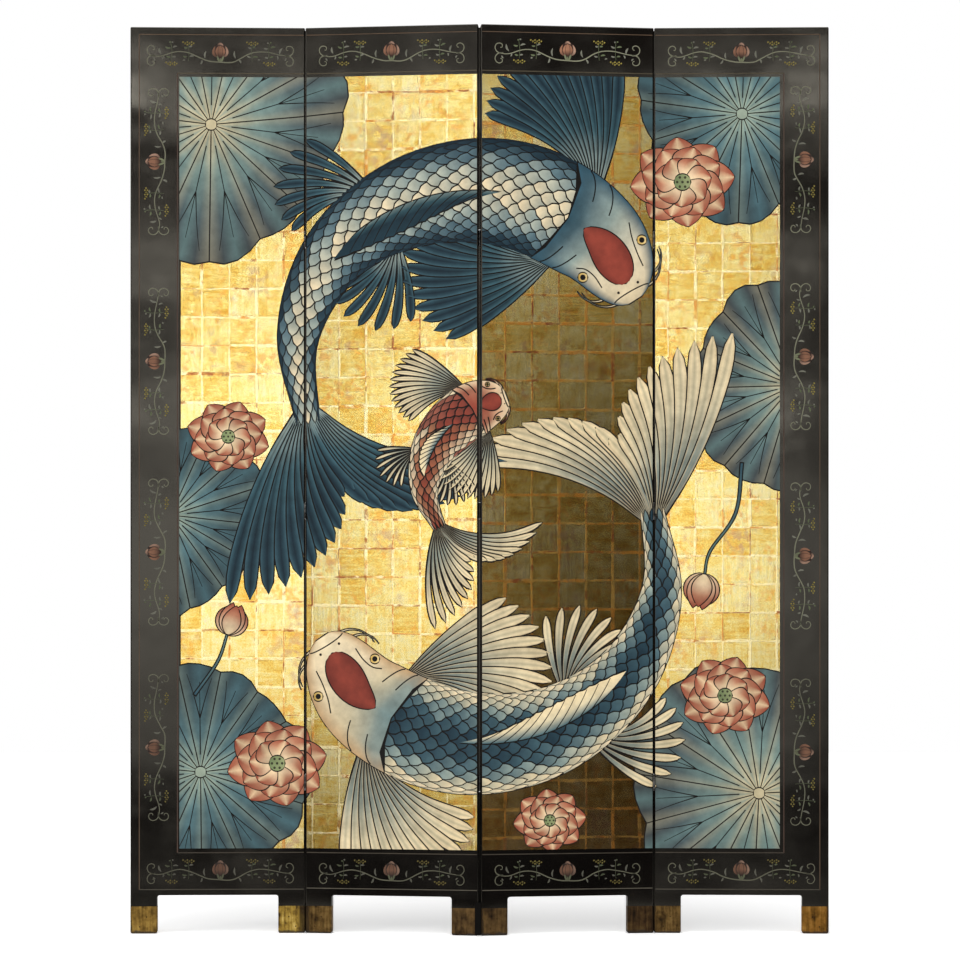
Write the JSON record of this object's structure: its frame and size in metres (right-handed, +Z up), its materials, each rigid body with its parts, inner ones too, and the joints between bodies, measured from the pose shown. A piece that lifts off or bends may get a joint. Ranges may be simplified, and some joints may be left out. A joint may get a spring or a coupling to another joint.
{
  "type": "lacquer folding screen",
  "caption": "Freestanding folding screen of hinged lacquer panels with gilt pictorial fronts in black borders, standing on legs with brass shoes.",
  "frame": {"origin": "on the floor, under the middle of the screen's box at its rest pose", "axes": "+X along the screen from panel 1 to panel 4, -Y out of the gilt fronts, +Z up"},
  "size_m": [1.645, 0.0719, 2.134],
  "materials": {
    "black_lacquer": "polished black lacquer over gesso on wood",
    "gilt_ground": "squares of gold-coloured metal leaf on a gesso ground, varnished",
    "brass": "worn, darkened sheet brass",
    "bare_wood": "sawn, unfinished",
    "dark_steel": "blackened, with dull grey edges"
  },
  "bodies": {
    "panel_1": {"panel_1_left_stile": "black_lacquer", "panel_1_right_stile": "black_lacquer", "panel_1_top_rail": "black_lacquer", "panel_1_middle_rails": "bare_wood", "panel_1_bottom_rail": "black_lacquer", "panel_1_front_board": "black_lacquer", "panel_1_back_board": "black_lacquer", "panel_1_gilt_ground": "gilt_ground", "panel_1_left_shoe": "brass", "panel_1_right_shoe": "brass", "panel_1_shoe_tacks": "brass", "panel_1_hinge_screws": "dark_steel", "joint_1_left_leaves": "dark_steel", "joint_1_pins": "dark_steel", "joint_1_tongues": "black_lacquer"},
    "panel_2": {"panel_2_left_stile": "black_lacquer", "panel_2_right_stile": "black_lacquer", "panel_2_top_rail": "black_lacquer", "panel_2_middle_rails": "bare_wood", "panel_2_bottom_rail": "black_lacquer", "panel_2_front_board": "black_lacquer", "panel_2_back_board": "black_lacquer", "panel_2_gilt_ground": "gilt_ground", "panel_2_left_shoe": "brass", "panel_2_right_shoe": "brass", "panel_2_shoe_tacks": "brass", "panel_2_hinge_screws": "dark_steel", "joint_1_right_leaves": "dark_steel", "joint_2_left_leaves": "dark_steel", "joint_2_pins": "dark_steel", "joint_2_tongues": "black_lacquer"},
    "panel_3": {"panel_3_left_stile": "black_lacquer", "panel_3_right_stile": "black_lacquer", "panel_3_top_rail": "black_lacquer", "panel_3_middle_rails": "bare_wood", "panel_3_bottom_rail": "black_lacquer", "panel_3_front_board": "black_lacquer", "panel_3_back_board": "black_lacquer", "panel_3_gilt_ground": "gilt_ground", "panel_3_left_shoe": "brass", "panel_3_right_shoe": "brass", "panel_3_shoe_tacks": "brass", "panel_3_hinge_screws": "dark_steel", "joint_2_right_leaves": "dark_steel", "joint_3_left_leaves": "dark_steel", "joint_3_pins": "dark_steel", "joint_3_tongues": "black_lacquer"},
    "panel_4": {"panel_4_left_stile": "black_lacquer", "panel_4_right_stile": "black_lacquer", "panel_4_top_rail": "black_lacquer", "panel_4_middle_rails": "bare_wood", "panel_4_bottom_rail": "black_lacquer", "panel_4_front_board": "black_lacquer", "panel_4_back_board": "black_lacquer", "panel_4_gilt_ground": "gilt_ground", "panel_4_left_shoe": "brass", "panel_4_right_shoe": "brass", "panel_4_shoe_tacks": "brass", "panel_4_hinge_screws": "dark_steel", "joint_3_right_leaves": "dark_steel"}
  },
  "joints": [
    {"name": "fold_1", "type": "hinge", "parent": "panel_2", "child": "panel_1", "pos_m": [-0.41119, 0.01157, 0.995], "axis": [0, 0, 1], "range_deg": [-8.8, 171.2]},
    {"name": "fold_2", "type": "hinge", "parent": "panel_2", "child": "panel_3", "pos_m": [0, -0.01201, 0.995], "axis": [0, 0, 1], "range_deg": [-14, 166]},
    {"name": "fold_3", "type": "hinge", "parent": "panel_3", "child": "panel_4", "pos_m": [0.41119, 0.01157, 0.995], "axis": [0, 0, 1], "range_deg": [-171.2, 8.8]}
  ]
}
